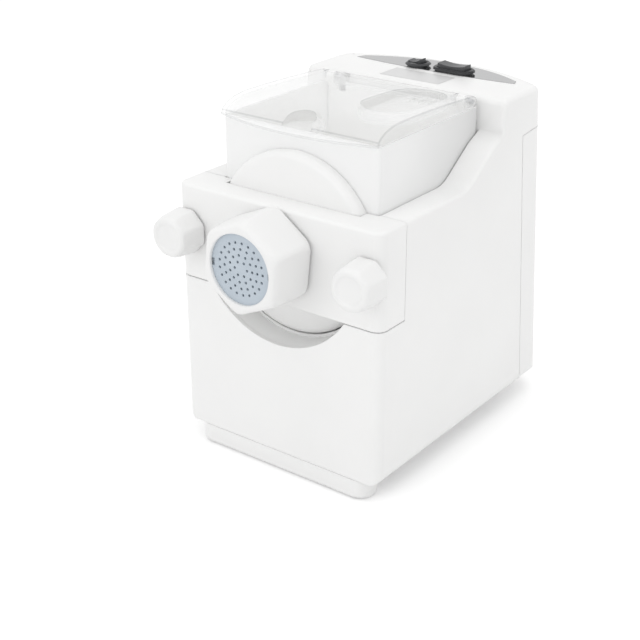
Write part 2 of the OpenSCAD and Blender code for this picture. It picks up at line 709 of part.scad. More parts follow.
module first_gear_axle() row() color(STEEL) at_shaft(first_at) y_rod(axle_1_r, case_y0 + 0.2, case_y1 + 2);
module second_gear_axle() row() color(STEEL) at_shaft(second_at) y_rod(axle_2_r, case_y0 + 0.2, case_y1 + 2);
module main_bearing_front() row() on_axis() color(BRASS)
    y_ring(13, shaft_r + shaft_clearance, case_y0, case_y0 + 10);
module main_bearing_rear() row() on_axis() color(BRASS)
    y_ring(11, shaft_back_r + shaft_clearance, case_y1 - 4, case_y1 + 3);
motor_screw_places = [for (a = [45 : 90 : 315]) motor_at + polar(20, a)];
case_screw_places = [[case_x0 + 5, case_z0 + 5], [case_x1 - 5, case_z0 + 5],
    [case_x0 + 5, case_z1 - 5], [case_x1 - 5, case_z1 - 5]];
module case_outline(t) translate([case_x0 + t, case_z0 + t])
    square([case_x1 - case_x0 - 2 * t, case_z1 - case_z0 - 2 * t]);
module gearbox_case() row() color("#d4d6d8") difference() {
    union() {
        difference() {
            y_prism(case_y0, case_y1) case_outline(0);
            y_prism(case_y0 + case_wall, case_y1 + 1) case_outline(case_wall);
        }
        on_axis() y_rod(16, case_y0, case_y0 + 10);
        at_shaft(first_at) y_rod(5.5, case_y0, plane_1[0] - 3);
        at_shaft(second_at) y_rod(6.5, case_y0, plane_1[0] - 0.5);
        for (p = case_screw_places) at_shaft(p) y_rod(4.5, case_y0, case_y1);
    }
    on_axis() y_rod(13 + fit_gap, case_y0 - 1, case_y0 + 11);
    at_shaft(motor_at) y_rod(9.2, case_y0 - 1, case_y0 + case_wall + 1);
    at_shaft(first_at) y_rod(axle_1_r + fit_gap, case_y0 + 0.2, case_y1);
    at_shaft(second_at) y_rod(axle_2_r + fit_gap, case_y0 + 0.2, case_y1);
    for (p = case_screw_places) at_shaft(p) y_rod(1.55, case_y0 + 25, case_y1 + 1);
    for (p = motor_screw_places) at_shaft(p) y_rod(1.9, case_y0 - 1, case_y0 + case_wall + 1);
}
module gearbox_cover() row() color("#d4d6d8") difference() {
    union() {
        y_prism(case_y1 + 0.1, case_y1 + case_wall + 0.1) case_outline(0);
        on_axis() y_rod(14, case_y1 - 4, case_y1 + case_wall);
        at_shaft(first_at) y_rod(5.5, case_y1 - 14, case_y1 + 1);
    }
    on_axis() y_rod(11 + fit_gap, case_y1 - 5, case_y1 + case_wall + 1);
    at_shaft(first_at) y_rod(axle_1_r + fit_gap, case_y1 - 20, case_y1 + 2.05);
    at_shaft(second_at) y_rod(axle_2_r + fit_gap, case_y1 - 5, case_y1 + 2.05);
    for (p = case_screw_places) at_shaft(p) y_rod(1.9, case_y1 - 1, case_y1 + case_wall + 1);
}
// Four screws of the gearbox cover and four that hold the motor
module drive_screws() row() color(STEEL) {
    for (p = case_screw_places) at_shaft(p) {
        y_rod(1.5, case_y0 + 28, case_y1 + case_wall + 0.2);
        y_rod(3.4, case_y1 + case_wall + 0.15, case_y1 + case_wall + 2.4);
    }
    for (p = motor_screw_places) at_shaft(p) {
        y_rod(1.5, case_y0 - 3, case_y0 + case_wall + 0.1);
        y_rod(3.2, case_y0 + case_wall + 0.05, case_y0 + case_wall + 2.2);
    }
}

// ---- Motor ----
module motor_can() row() at_shaft(motor_at) color(STEEL) difference() {
    y_rod(motor_r, motor_y0, motor_y1);
    y_rod(motor_r - 2, motor_y0 + 2, motor_y1 - 3);
    y_rod(9 + fit_gap, motor_y1 - 9, motor_y1 + 1);
    y_rod(9 + fit_gap, motor_y0 - 1, motor_y0 + 6);
    for (a = [0 : 30 : 330]) rotate([0, a, 0]) slab(20, 29, motor_y0 - 1, motor_y0 + 3, -2.5, 2.5);
    for (a = [0 : 60 : 300]) rotate([0, a, 0]) slab(26, 40, motor_y1 - 12, motor_y1 - 6, -6, 6);
    for (a = [45 : 90 : 315]) rotate([0, a, 0]) translate([20, 0, 0]) y_rod(1.55, motor_y1 - 4, motor_y1 + 1);
}
module motor_bearings() row() at_shaft(motor_at) color(BRASS) {
    y_ring(9, rotor_shaft_r + shaft_clearance, motor_y0, motor_y0 + 5);
    y_ring(9, rotor_shaft_r + shaft_clearance, motor_y1 - 6, motor_y1 + 3);
}
module motor_stator() row() at_shaft(motor_at) color("#6d7075") difference() {
    y_rod(motor_r - 2 - fit_gap, 106, 158);
    y_rod(rotor_r + 0.6, 105, 159);
    for (a = [22.5 : 45 : 360]) rotate([0, a, 0]) slab(22, 31, 105, 159, -1.2, 1.2);
}
module motor_windings() row() at_shaft(motor_at) color(COPPER) {
    y_ring(32.5, 26, 99, 105.9);
    y_ring(32.5, 26, 158.1, 164);
}
module motor_rotor() row() at_shaft(motor_at) color(STEEL) {
    y_rod(rotor_shaft_r, 74, plane_1[1] + 1);
    y_rod(rotor_r, 107, 157);
}
module cooling_fan() row() at_shaft(motor_at) color(CHARCOAL) {
    y_ring(9, rotor_shaft_r + fit_gap, 76, 90);
    for (a = [0 : 40 : 320]) rotate([0, a, 0]) translate([8.2, 83, 0])
        rotate([35, 0, 0]) slab(0, 22, -0.8, 0.8, -7, 7);
}
module motor_cradle() row() color("#d4d6d8") for (y = [112, 148]) difference() {
    slab(-30, 30, y - 5, y + 5, body_bottom + 3.05, motor_z - 10);
    at_shaft(motor_at) y_rod(motor_r + 0.05, y - 6, y + 6);
    slab(-18, 18, y - 6, y + 6, body_bottom + 2, body_bottom + 12);
}

// ---- Electrics and controls ----
module control_board() row() color(GREEN) difference() {
    slab(-62, 62, 184, 236, board_z, board_z + 1.6);
    for (p = board_corners) translate([p[0], p[1], board_z - 1]) cylinder(r = 1.7, h = 4);
}
module board_components() row() {
    top = board_z + 1.65;
    color(CHARCOAL) slab(-50, -32, 196, 212, top, top + 14);
    color(CHARCOAL) slab(30, 48, 192, 204, top, top + 12);
    color(STEEL) slab(4, 20, 190, 193, top, top + 16);
    color("#3b5c8c") for (x = [-22, -8]) translate([x, 198, top]) cylinder(r = 5, h = 12);
    color(CHARCOAL) slab(26, 40, 214, 226, top, top + 3);
}
module interlock_switch() row() color(CHARCOAL)
    slab(plunger_x - 3.2, plunger_x + 3.2, 184.4, 204, plunger_z0 - 1, plunger_z1 - 1.5);
module interlock_plunger() row() color(CHARCOAL)
    slab(plunger_x - plunger_w / 2, plunger_x + plunger_w / 2, chamber_back_y + 0.5, 184,
        plunger_z0, plunger_z1);
module control_panel() row() color(SILVER)
    z_prism(block_top - panel_thick + panel_proud + fit_gap, block_top + panel_proud) difference() {
        panel_outline(0);
        switch_holes(0.3);
    }
module label_plate() row() color("#dcdcdc")
    slab(-29.5, 29.5, 182.1, 208.5, block_top - 0.58, block_top + 0.1);
bezel_z = block_top + panel_proud + 0.05;
module small_switch_bezel() row() color(CHARCOAL)
    translate([small_switch_x, switch_y, bezel_z]) difference() {
    union() {
        translate([0, 0, bezel_lift]) cylinder(r1 = small_r - 0.5, r2 = small_r, h = 0.5);
        translate([0, 0, bezel_lift + 0.5])
            cylinder(r1 = small_r, r2 = small_r - 1.6, h = bezel_h - bezel_lift - 0.5);
        cylinder(r = 9.4, h = bezel_h - 0.5);
        translate([0, 0, -7]) cylinder(r = 8, h = 7.5);
    }
    slab(-7.4, 7.4, -5, 5, -8, bezel_h + 1);
}
module large_switch_bezel() row() color(CHARCOAL)
    translate([large_switch_x, switch_y, bezel_z]) difference() {
    union() {
        z_prism(bezel_lift, bezel_h - 0.8) stadium(large_half, large_end_r);
        z_prism(bezel_lift, bezel_h) stadium(large_half - 0.9, large_end_r - 0.9);
        z_prism(0, bezel_h - 0.5) stadium(17.4, 7.8);
        z_prism(-7, 0.5) stadium(17, 7.4);
    }
    slab(-14.5, 14.5, -6.2, 6.2, -8, bezel_h + 1);
}
rocker_pivot_z = block_top - 3;
// The rocker's foot is narrower than its cap, so it passes between the ears of the switch's body
module rocker(half_l, foot_half_l, half_d, top_h, dish_r) difference() {
    intersection() {
        y_prism(-half_d, half_d) difference() {
            polygon([[-foot_half_l, -4], [foot_half_l, -4], [half_l, top_h], [-half_l, top_h]]);
            translate([0, top_h + dish_r - 2.2]) circle(dish_r);
        }
        union() {
            slab(-20, 20, -half_d, half_d, 3.3, 20);
            slab(-20, 20, -half_d + 1.6, half_d - 1.6, -5, 4);
        }
    }
    rotate([90, 0, 0]) cylinder(r = 1.5 + shaft_clearance, h = 60, center = true);
}
module small_switch_button() row() color(CHARCOAL)
    translate([small_switch_x, switch_y, rocker_pivot_z]) rotate([0, -small_switch_tilt, 0])
        rocker(6.1, 4.4, 4.7, 9.7, 12);
module large_switch_button() row() color(CHARCOAL)
    translate([large_switch_x, switch_y, rocker_pivot_z]) rocker(12.9, 13.2, 5.9, 11.2, 60);
module switch_body(half_l, half_d) {
    // Cup below the rocker, with the pivot pin across it
    difference() {
        slab(-half_l, half_l, -half_d, half_d, -24, -4.6);
        slab(-half_l + 1.5, half_l - 1.5, -half_d + 1.5, half_d - 1.5, -8.5, 0);
    }
    for (side = [0, 1]) mirror([0, side, 0]) slab(-2.5, 2.5, half_d - 1.1, half_d, -6, 2.4);
    rotate([90, 0, 0]) cylinder(r = 1.5, h = 2 * half_d - 1, center = true);
}
module small_switch_body() row() color(CHARCOAL)
    translate([small_switch_x, switch_y, rocker_pivot_z]) switch_body(7.1, 4.9);
module large_switch_body() row() color(CHARCOAL)
    translate([large_switch_x, switch_y, rocker_pivot_z]) switch_body(15.5, 6.1);
module mains_inlet() row() color(CHARCOAL) rear_frame() difference() {
    union() {
        slab(-17.5, 17.5, -0.05, 1.2, 17, 41);
        slab(-14.8, 14.8, -24, 0, 19.2, 38.8);
    }
    slab(-11, 11, -18, 2, 21.5, 36.5);
    for (x = [-5, 5]) translate([x, 0, 26.5]) rotate([90, 0, 0]) cylinder(r = 1.2 + fit_gap, h = 40);
}
module inlet_pins() row() color(BRASS) rear_frame() for (x = [-5, 5])
    translate([x, -4, 26.5]) rotate([90, 0, 0]) cylinder(r = 1.2, h = 24);
module base_screws() row() color(STEEL) base_screw_places() {
    translate([0, 0, -2]) cylinder(r = 3.2, h = 1.95);
    translate([0, 0, -1]) cylinder(r = 1.5, h = 18);
}
module cover_screws() row() color(STEEL) cover_screw_places() {
    translate([0, 0, 29]) cylinder(r = 3.2, h = 2.95);
    translate([0, 0, 31]) cylinder(r = 1.5, h = cover_depth - 20);
}
module board_screws() row() color(STEEL) for (p = board_corners) translate([p[0], p[1], board_z]) {
    translate([0, 0, -2]) cylinder(r = 2.6, h = 1.95);
    translate([0, 0, -1]) cylinder(r = 1.1, h = 9);
}

housing();
chamber_bed();
rear_cover();
base_plate();
front_foot();
rear_feet();
foot_pads();
front_plate();
front_disc();
disc_seal();
extrusion_tube();
die_disc();
extruder_nut();
knob_left();
knob_right();
knob_stud_left();
knob_stud_right();
stud_inserts();
mixing_chamber();
lid();
lid_hinge_pins();
mixing_paddle();
auger_screw();
shaft_seal();
drive_shaft();
output_gear();
second_gear();
first_gear();
motor_pinion();
first_gear_axle();
second_gear_axle();
main_bearing_front();
main_bearing_rear();
gearbox_case();
gearbox_cover();
motor_can();
motor_stator();
motor_windings();
motor_rotor();
motor_bearings();
cooling_fan();
motor_cradle();
control_board();
board_components();
interlock_switch();
interlock_plunger();
control_panel();
label_plate();
small_switch_bezel();
small_switch_button();
small_switch_body();
large_switch_bezel();
large_switch_button();
large_switch_body();
mains_inlet();
inlet_pins();
base_screws();
drive_screws();
cover_screws();
board_screws();
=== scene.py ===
"""Electric pasta maker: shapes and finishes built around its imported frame."""

import logging
import math
from dataclasses import dataclass, field
from enum import Enum
from typing import Callable, Iterable, Sequence

import bmesh
import bpy
from mathutils import Matrix, Vector

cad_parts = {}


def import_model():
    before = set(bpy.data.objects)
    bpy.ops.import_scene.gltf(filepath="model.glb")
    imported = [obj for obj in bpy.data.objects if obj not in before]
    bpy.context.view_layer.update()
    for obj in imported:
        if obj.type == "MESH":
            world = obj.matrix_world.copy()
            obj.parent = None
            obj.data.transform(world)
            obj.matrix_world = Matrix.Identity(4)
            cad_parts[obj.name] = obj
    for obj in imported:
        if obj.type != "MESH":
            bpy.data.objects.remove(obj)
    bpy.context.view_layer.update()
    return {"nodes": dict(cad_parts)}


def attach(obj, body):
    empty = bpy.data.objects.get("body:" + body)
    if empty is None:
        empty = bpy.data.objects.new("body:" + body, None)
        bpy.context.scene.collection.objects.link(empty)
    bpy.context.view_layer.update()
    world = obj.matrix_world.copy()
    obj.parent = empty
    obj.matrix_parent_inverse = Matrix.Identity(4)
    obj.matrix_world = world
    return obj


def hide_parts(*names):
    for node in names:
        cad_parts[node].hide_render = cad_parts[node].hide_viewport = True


LOG = logging.getLogger("pasta_maker")

X, Y, Z = range(3)  # numbers of the axes in a vector
MM = 0.001
FRONT_FACE_Y = -0.1215  # the front plate's face in the row frame, in metres
AXIS_HEIGHT = 194.5  # height of the extruder's axis above the table, in millimetres
WELD = 2e-6  # metres within which the corners of loose triangles are one
FLAT_DEG = 0.4  # neighbouring faces that fold less than this are joined
CREASE_DEG = 35.0  # edges that fold more than this stay sharp
DRAWN_CREASE_DEG = 38.0  # the same on drawn-out pieces
TURNED_CREASE_DEG = 40.0  # the same on turned pieces
LEAST_ROUNDED_DEG = 22.0  # edges that fold less than this are never rounded
CORNER_STEPS = 12  # points round each corner of a drawn-out ring

Colour = tuple[float, float, float]
Socket = bpy.types.NodeSocket


class Body(Enum):
    """CAD bodies that carry the new pieces."""

    HOUSING = "housing_body"
    CHAMBER = "chamber_body"
    LID = "lid_body"
    FRONT = "front_body"
    KNOB_LEFT = "knob_left_body"
    KNOB_RIGHT = "knob_right_body"
    NUT = "nut_body"


def point(x: float, y: float, z: float) -> Vector:
    """Place in the row frame, in metres, from millimetres measured off the front plate's face.

    Args:
        x: Distance to the right of the middle.
        y: Distance behind the front plate's face.
        z: Height above the table.

    Returns:
        The place as a vector in metres.
    """
    return Vector((x * MM, y * MM + FRONT_FACE_Y, z * MM))


# ---------------------------------------------------------------- finishes


class Wiring:
    """Node tree of one finish, with short calls for what the finishes share."""

    def __init__(self, name: str) -> None:
        """Starts a material with one shader.

        Args:
            name: Name of the material.
        """
        self.material = bpy.data.materials.new(name)
        self.material.use_nodes = True
        self.tree = self.material.node_tree
        self.tree.nodes.clear()
        self.output = self.tree.nodes.new("ShaderNodeOutputMaterial")
        self.shader = self.tree.nodes.new("ShaderNodeBsdfPrincipled")
        self.tree.links.new(self.shader.outputs["BSDF"], self.output.inputs["Surface"])
        self.place = self.tree.nodes.new("ShaderNodeTexCoord").outputs["Object"]

    def add(self, kind: str, **sockets: object) -> bpy.types.Node:
        """Adds a node and fills its input sockets.

        Args:
            kind: Node type.
            **sockets: Values or output sockets, by input name with underscores for spaces.

        Returns:
            The new node.
        """
        node = self.tree.nodes.new(kind)
        for name, value in sockets.items():
            self.feed(node.inputs[name.replace("_", " ")], value)
        return node

    def feed(self, socket: Socket, value: object) -> None:
        """Links an output socket to an input, or sets the input's value.

        Args:
            socket: Input socket.
            value: Output socket or plain value.
        """
        if isinstance(value, Socket):
            self.tree.links.new(value, socket)
        else:
            socket.default_value = value

    def noise(self, scale: float, detail: float = 2.0, stretch: Sequence[float] = (1, 1, 1)) -> Socket:
        """Noise over the piece's own coordinates.

        Args:
            scale: Features per metre.
            detail: Octaves.
            stretch: Scale along each axis.

        Returns:
            Socket with values round one half.
        """
        mapping = self.add("ShaderNodeMapping", Vector=self.place, Scale=tuple(stretch))
        node = self.add("ShaderNodeTexNoise", Vector=mapping.outputs[0], Scale=scale, Detail=detail)
        return node.outputs[0]

    def span(
        self, source: Socket, low: float, high: float, start: float = 0.3, end: float = 0.7
    ) -> Socket:
        """Maps a pattern onto a range of values.

        Args:
            source: Pattern.
            low: Value at start.
            high: Value at end.
            start: Pattern value that gives low.
            end: Pattern value that gives high.

        Returns:
            Socket with the mapped value.
        """
        node = self.add(
            "ShaderNodeMapRange", Value=source, From_Min=start, From_Max=end, To_Min=low, To_Max=high
        )
        return node.outputs[0]

    def tint(self, factor: Socket, first: Colour, second: Colour) -> Socket:
        """Blends two colours by a pattern.

        Args:
            factor: Pattern from 0 to 1.
            first: Colour at 0.
            second: Colour at 1.

        Returns:
            Socket with the colour.
        """
        node = self.tree.nodes.new("ShaderNodeMix")
        node.data_type = "RGBA"
        self.feed(node.inputs["Factor"], factor)
        self.feed(node.inputs[6], (*first, 1.0))
        self.feed(node.inputs[7], (*second, 1.0))
        return node.outputs[2]

    def soft_edge(self, radius: float) -> Socket:
        """Normal that is rounded over edges.

        Args:
            radius: Radius of the rounding in metres.

        Returns:
            Socket with the normal.
        """
        node = self.add("ShaderNodeBevel", Radius=radius)
        node.samples = 4
        return node.outputs[0]

    def relief(
        self, height: Socket, depth: float, normal: Socket | None = None, strength: float = 1.0
    ) -> Socket:
        """Bump from a pattern.

        Args:
            height: Pattern.
            depth: Depth in metres of one unit of the pattern.
            normal: Normal that the bump starts from.
            strength: Share of the bump that is used.

        Returns:
            Socket with the normal.
        """
        node = self.add("ShaderNodeBump", Height=height, Distance=depth, Strength=strength)
        if normal is not None:
            self.feed(node.inputs["Normal"], normal)
        return node.outputs[0]

    def larger(self, first: Socket, second: Socket) -> Socket:
        """Larger of two values.

        Args:
            first: One value.
            second: The other value.

        Returns:
            Socket with the larger value.
        """
        node = self.tree.nodes.new("ShaderNodeMath")
        node.operation = "MAXIMUM"
        self.feed(node.inputs[0], first)
        self.feed(node.inputs[1], second)
        return node.outputs[0]

    def finish(self, **sockets: object) -> bpy.types.Material:
        """Fills the shader's sockets.

        Args:
            **sockets: Values or sockets by the shader's input names.

        Returns:
            The finished material.
        """
        for name, value in sockets.items():
            self.feed(self.shader.inputs[name.replace("_", " ")], value)
        return self.material


@dataclass(frozen=True)
class SatinShell:
    """Injection-moulded white plastic with a fine spark-eroded grain."""

    name: str
    colour: Colour = (0.86, 0.86, 0.855)
    shade: Colour = (0.835, 0.835, 0.83)
    smooth: float = 0.3
    rough: float = 0.38
    grain: float = 1700.0
    grain_depth: float = 0.000012
    edge: float = 0.0012

    def build(self) -> bpy.types.Material:
        """Makes the material.

        Returns:
            The finished material.
        """
        w = Wiring(self.name)
        cloud = w.noise(11.0, 3.0)
        handling = w.noise(47.0, 4.0)
        grain = w.noise(self.grain, 2.0)
        flow = w.noise(5.0, 2.0, (1.0, 1.0, 0.25))
        rounded = w.soft_edge(self.edge)
        wavy = w.relief(flow, 0.0004, rounded, 0.25)
        return w.finish(
            Base_Color=w.tint(w.span(cloud, 0.0, 1.0), self.colour, self.shade),
            Roughness=w.span(handling, self.smooth, self.rough),
            IOR=1.49,
            Normal=w.relief(grain, self.grain_depth, wavy, 0.7),
        )


@dataclass(frozen=True)
class ClearPlastic:
    """Clear thin-walled polycarbonate: nearly nothing face on, greyer where it is seen edge on."""

    name: str
    colour: Colour = (0.95, 0.953, 0.953)
    shade: Colour = (0.93, 0.933, 0.933)
    face_on: float = 0.22
    edge_on: float = 0.6

    def build(self) -> bpy.types.Material:
        """Makes the material.

        Returns:
            The finished material.
        """
        w = Wiring(self.name)
        hair = w.noise(900.0, 2.0, (1.0, 0.04, 1.0))
        smear = w.noise(36.0, 4.0)
        facing = w.add("ShaderNodeLayerWeight", Blend=0.5).outputs["Facing"]
        curve = w.add("ShaderNodeMath", Value=facing)
        curve.operation = "POWER"
        curve.inputs[1].default_value = 4.0
        return w.finish(
            Base_Color=w.tint(w.span(smear, 0.0, 1.0), self.colour, self.shade),
            Roughness=w.span(smear, 0.03, 0.09),
            IOR=1.45,
            Alpha=w.span(curve.outputs[0], self.face_on, self.edge_on, 0.0, 1.0),
            Normal=w.relief(hair, 0.000002, None, 0.5),
        )


@dataclass(frozen=True)
class MouldedPlastic:
    """Matte moulded plastic with softly rounded edges."""

    name: str
    colour: Colour
    shade: Colour
    smooth: float = 0.42
    rough: float = 0.6
    grain: float = 1200.0
    grain_depth: float = 0.00002
    edge: float = 0.0005

    def build(self) -> bpy.types.Material:
        """Makes the material.

        Returns:
            The finished material.
        """
        w = Wiring(self.name)
        cloud = w.noise(60.0, 4.0)
        grain = w.noise(self.grain, 3.0)
        return w.finish(
            Base_Color=w.tint(w.span(cloud, 0.0, 1.0), self.colour, self.shade),
            Roughness=w.span(cloud, self.smooth, self.rough),
            IOR=1.5,
            Normal=w.relief(grain, self.grain_depth, w.soft_edge(self.edge), 0.7),
        )


@dataclass(frozen=True)
class TurnedMetal:
    """Machined metal with fine tool marks across one axis."""

    name: str
    colour: Colour
    shade: Colour
    rough: float = 0.32
    marks: Sequence[float] = (1.0, 60.0, 1.0)

    def build(self) -> bpy.types.Material:
        """Makes the material.

        Returns:
            The finished material.
        """
        w = Wiring(self.name)
        tool = w.noise(90.0, 4.0, self.marks)
        tarnish = w.noise(55.0, 4.0)
        return w.finish(
            Base_Color=w.tint(w.span(tarnish, 0.0, 1.0), self.colour, self.shade),
            Metallic=1.0,
            Roughness=w.span(tarnish, self.rough - 0.08, self.rough + 0.12),
            Normal=w.relief(tool, 0.00001, w.soft_edge(0.0003), 0.6),
        )


@dataclass(frozen=True)
class MilkyPlastic:
    """Milky polypropylene with a painted glow: an emission in its own colour stands in for light passing
    through its thin walls.
    """

    name: str
    painted_glow: float
    colour: Colour = (0.85, 0.852, 0.85)
    shade: Colour = (0.83, 0.832, 0.83)

    def build(self) -> bpy.types.Material:
        """Makes the material.

        Returns:
            The finished material.
        """
        w = Wiring(self.name)
        cloud = w.noise(13.0, 3.0)
        flow = w.noise(6.0, 2.0, (1.0, 1.0, 0.3))
        grain = w.noise(900.0, 2.0)
        colour = w.tint(w.span(cloud, 0.0, 1.0), self.colour, self.shade)
        return w.finish(
            Base_Color=colour,
            Roughness=w.span(flow, 0.4, 0.5),
            IOR=1.46,
            # Painted glow: emission in the plastic's own colour, not light from any lamp.
            Emission_Color=colour,
            Emission_Strength=self.painted_glow,
            Normal=w.relief(grain, 0.00001, w.relief(flow, 0.0003, w.soft_edge(0.001), 0.25), 0.6),
        )


@dataclass(frozen=True)
class GlossFilm:
    """Silver-grey film behind a glossy clear face."""

    name: str
    colour: Colour
    shade: Colour
    metallic: float = 0.25
    rough: float = 0.12
    coat: float = 0.6

    def build(self) -> bpy.types.Material:
        """Makes the material.

        Returns:
            The finished material.
        """
        w = Wiring(self.name)
        flakes = w.noise(2600.0, 2.0)
        cloud = w.noise(14.0, 3.0)
        return w.finish(
            Base_Color=w.tint(w.span(flakes, 0.0, 1.0, 0.35, 0.65), self.colour, self.shade),
            Metallic=self.metallic,
            Roughness=w.span(cloud, self.rough, self.rough + 0.05),
            Coat_Weight=self.coat,
            Coat_Roughness=0.05,
            Normal=w.relief(cloud, 0.00008, w.soft_edge(0.0003), 0.2),
        )


@dataclass(frozen=True)
class Rubber:
    """Moulded rubber, dull and a little dusty."""

    name: str
    colour: Colour
    shade: Colour

    def build(self) -> bpy.types.Material:
        """Makes the material.

        Returns:
            The finished material.
        """
        w = Wiring(self.name)
        dust = w.noise(130.0, 5.0)
        grain = w.noise(1500.0, 2.0)
        return w.finish(
            Base_Color=w.tint(w.span(dust, 0.0, 1.0), self.colour, self.shade),
            Roughness=w.span(dust, 0.62, 0.85),
            Sheen_Weight=0.1,
            Normal=w.relief(grain, 0.00003, w.soft_edge(0.0005), 0.8),
        )


@dataclass(frozen=True)
class WoundWire:
    """Lacquered copper wire laid in rings."""

    name: str
    colour: Colour = (0.62, 0.28, 0.12)
    shade: Colour = (0.4, 0.16, 0.06)

    def build(self) -> bpy.types.Material:
        """Makes the material.

        Returns:
            The finished material.
        """
        w = Wiring(self.name)
        rings = w.add("ShaderNodeTexWave", Vector=w.place, Scale=320.0, Distortion=1.5, Detail=2.0)
        rings.wave_type = "RINGS"
        rings.rings_direction = "Y"
        band = rings.outputs["Fac"]
        return w.finish(
            Base_Color=w.tint(band, self.shade, self.colour),
            Metallic=0.8,
            Roughness=w.span(band, 0.45, 0.25, 0.0, 1.0),
            Coat_Weight=0.4,
            Normal=w.relief(band, 0.0003, None, 0.8),
        )


@dataclass(frozen=True)
class Laminations:
    """Stacked iron sheets seen on edge."""

    name: str
    colour: Colour = (0.3, 0.31, 0.33)
    shade: Colour = (0.13, 0.13, 0.14)

    def build(self) -> bpy.types.Material:
        """Makes the material.

        Returns:
            The finished material.
        """
        w = Wiring(self.name)
        sheets = w.add("ShaderNodeTexWave", Vector=w.place, Scale=300.0, Distortion=0.4, Detail=1.0)
        sheets.bands_direction = "Y"
        line = sheets.outputs["Fac"]
        return w.finish(
            Base_Color=w.tint(line, self.shade, self.colour),
            Metallic=0.9,
            Roughness=w.span(w.noise(80.0, 4.0), 0.35, 0.6),
            Normal=w.relief(line, 0.00015, None, 0.7),
        )


@dataclass(frozen=True)
class CircuitLaminate:
    """Green lacquered board with a faint weave and copper traces under the lacquer."""

    name: str
    colour: Colour = (0.03, 0.2, 0.09)
    trace: Colour = (0.06, 0.32, 0.13)

    def build(self) -> bpy.types.Material:
        """Makes the material.

        Returns:
            The finished material.
        """
        w = Wiring(self.name)
        weave = w.noise(700.0, 1.0)
        tracks = w.add("ShaderNodeTexVoronoi", Vector=w.place, Scale=170.0)
        tracks.feature = "F1"
        tracks.distance = "CHEBYCHEV"
        lines = w.span(tracks.outputs["Distance"], 0.0, 1.0, 0.42, 0.46)
        return w.finish(
            Base_Color=w.tint(lines, self.colour, self.trace),
            Roughness=w.span(weave, 0.25, 0.4),
            Coat_Weight=0.3,
            Normal=w.relief(lines, 0.00004, None, 0.6),
        )


class Finishes:
    """The finishes of all pieces, each made once."""

    def __init__(self) -> None:
        """Makes every material."""
        self.shell = SatinShell("white_shell").build()
        self.gloss_shell = SatinShell(
            "white_fittings", (0.83, 0.83, 0.826), (0.81, 0.81, 0.806), rough=0.35, edge=0.0007
        ).build()
        # The chamber's finishes carry a painted glow, faint on the outer faces and much stronger on the inner
        # faces to lighten the inside.
        self.chamber = MilkyPlastic("chamber_milky", 0.025).build()
        self.chamber_lit_inside = MilkyPlastic("chamber_milky_lit_inside", 0.155).build()
        self.clear = ClearPlastic("clear_lid").build()
        # The lid's rim finish is painted shade: a darker grey copy of the clear plastic for its rounded
        # edges.
        self.rim = ClearPlastic("clear_lid_rim_painted_shade", (0.56, 0.57, 0.575), (0.5, 0.51, 0.515), 0.35, 0.8).build()
        self.die = MouldedPlastic("die_blue_grey", (0.5, 0.56, 0.62), (0.46, 0.52, 0.58)).build()
        self.charcoal = MouldedPlastic(
            "charcoal_plastic", (0.028, 0.029, 0.032), (0.038, 0.039, 0.043), 0.32, 0.5
        ).build()
        self.rocker = MouldedPlastic(
            "rocker_grey", (0.055, 0.057, 0.061), (0.072, 0.074, 0.079), 0.3, 0.46
        ).build()
        self.light_grey = MouldedPlastic("plunger_grey", (0.5, 0.5, 0.5), (0.46, 0.46, 0.46)).build()
        self.panel = GlossFilm(
            "panel_silver", (0.41, 0.41, 0.415), (0.45, 0.45, 0.455), 0.95, 0.05, 0.0
        ).build()
        self.label = GlossFilm("label_grey", (0.63, 0.63, 0.63), (0.66, 0.66, 0.66), 0.1, 0.34, 0.1).build()
        self.nylon = MouldedPlastic("nylon_natural", (0.78, 0.75, 0.66), (0.72, 0.69, 0.6), 0.38, 0.5).build()
        self.frame_grey = MouldedPlastic("frame_grey", (0.52, 0.53, 0.54), (0.47, 0.48, 0.49)).build()
        self.seal = Rubber("seal_silicone", (0.62, 0.64, 0.66), (0.55, 0.57, 0.59)).build()
        self.pad = Rubber("pad_rubber", (0.035, 0.035, 0.037), (0.06, 0.06, 0.062)).build()
        self.steel = TurnedMetal("machined_steel", (0.6, 0.61, 0.63), (0.5, 0.51, 0.53)).build()
        self.brass = TurnedMetal("turned_brass", (0.72, 0.52, 0.22), (0.6, 0.42, 0.17), 0.3).build()
        self.iron = Laminations("core_iron").build()
        self.copper = WoundWire("winding_copper").build()
        self.board = CircuitLaminate("board_green").build()


def dress(obj: bpy.types.Object, material: bpy.types.Material) -> None:
    """Gives a whole object one finish.

    Args:
        obj: Object to dress.
        material: Finish.
    """
    if not obj.data.materials:
        obj.data.materials.append(material)
    for index in range(len(obj.data.materials)):
        obj.data.materials[index] = material


# ---------------------------------------------------------------- mesh steps


def settle(name: str, bm: bmesh.types.BMesh, crease_deg: float = CREASE_DEG) -> bpy.types.Object:
    """Turns a bmesh into an object at the origin, smooth up to a crease angle.

    Args:
        name: Name of the piece.
        bm: Finished bmesh in the row frame; it is freed.
        crease_deg: Edges that fold more than this stay sharp, unless they are to be rounded.

    Returns:
        The new object.
    """
    limit = math.radians(crease_deg)
    weights = bm.edges.layers.float.get("bevel_weight_edge")
    for edge in bm.edges:
        rounded = weights is not None and edge[weights] > 0.0
        edge.smooth = rounded or (len(edge.link_faces) == 2 and edge.calc_face_angle(0.0) < limit)
    for face in bm.faces:
        face.smooth = True
    mesh = bpy.data.meshes.new(name)
    bm.to_mesh(mesh)
    bm.free()
    obj = bpy.data.objects.new(name, mesh)
    bpy.context.scene.collection.objects.link(obj)
    return obj


